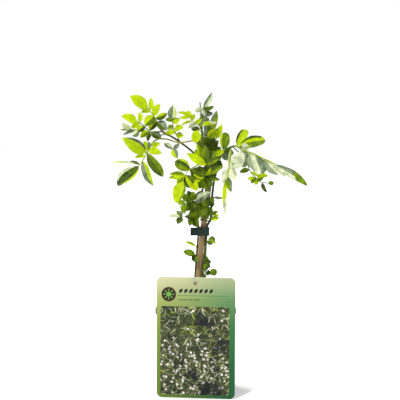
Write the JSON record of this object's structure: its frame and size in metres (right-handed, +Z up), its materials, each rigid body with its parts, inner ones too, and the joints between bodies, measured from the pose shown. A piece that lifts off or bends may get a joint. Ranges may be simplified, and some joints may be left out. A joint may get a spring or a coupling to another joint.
{
  "type": "potted common jasmine",
  "caption": "Young common jasmine with pinnate leaves, trained up a bamboo cane in a round nursery pot, with plant clips and a hanging care label.",
  "frame": {"origin": "middle of the pot's flat underside", "axes": "+Z up along the pot's axis, -Y towards the front, where the label hangs, +X to the right seen from the front"},
  "size_m": [0.2087, 0.112, 0.3274],
  "materials": {
    "pot": "satin",
    "soil": "matte",
    "cane": "satin",
    "clip": "satin",
    "label": "satin",
    "string": "satin",
    "stem": "matte",
    "leaf": "satin"
  },
  "bodies": {
    "root": {"cane": "cane", "clip_lower": "clip", "clip_upper": "clip", "frond_back_lower": "leaf", "frond_back_right": "leaf", "frond_back_upper": "leaf", "frond_centre_arch": "leaf", "frond_centre_front": "leaf", "frond_centre_right": "leaf", "frond_centre_upper": "leaf", "frond_leader_base": "leaf", "frond_leader_left": "leaf", "frond_leader_right": "leaf", "frond_left_middle": "leaf", "frond_left_pale": "leaf", "frond_left_tip": "leaf", "frond_low_left": "leaf", "frond_low_right": "leaf", "frond_lower_left": "leaf", "frond_right_hanging": "leaf", "frond_right_long": "leaf", "frond_right_lower": "leaf", "frond_top_left": "leaf", "frond_upper_left": "leaf", "label": "label", "label_string": "string", "leaflet_base_right": "leaf", "leaflet_clip_left": "leaf", "leaflet_leader_long": "leaf", "leaflet_low_right": "leaf", "leaflet_pair_right": "leaf", "leaflet_right_inner": "leaf", "pot": "pot", "shoot_tip": "leaf", "soil": "soil", "sprig_base_right": "leaf", "sprig_clip_left": "leaf", "sprig_clip_right": "leaf", "sprig_low_left": "leaf", "sprig_low_right": "leaf", "sprig_small_left": "leaf", "stem_leader": "stem", "stem_left": "stem", "stem_right": "stem", "stem_side": "stem", "tendril_low_left": "leaf"}
  },
  "joints": []
}
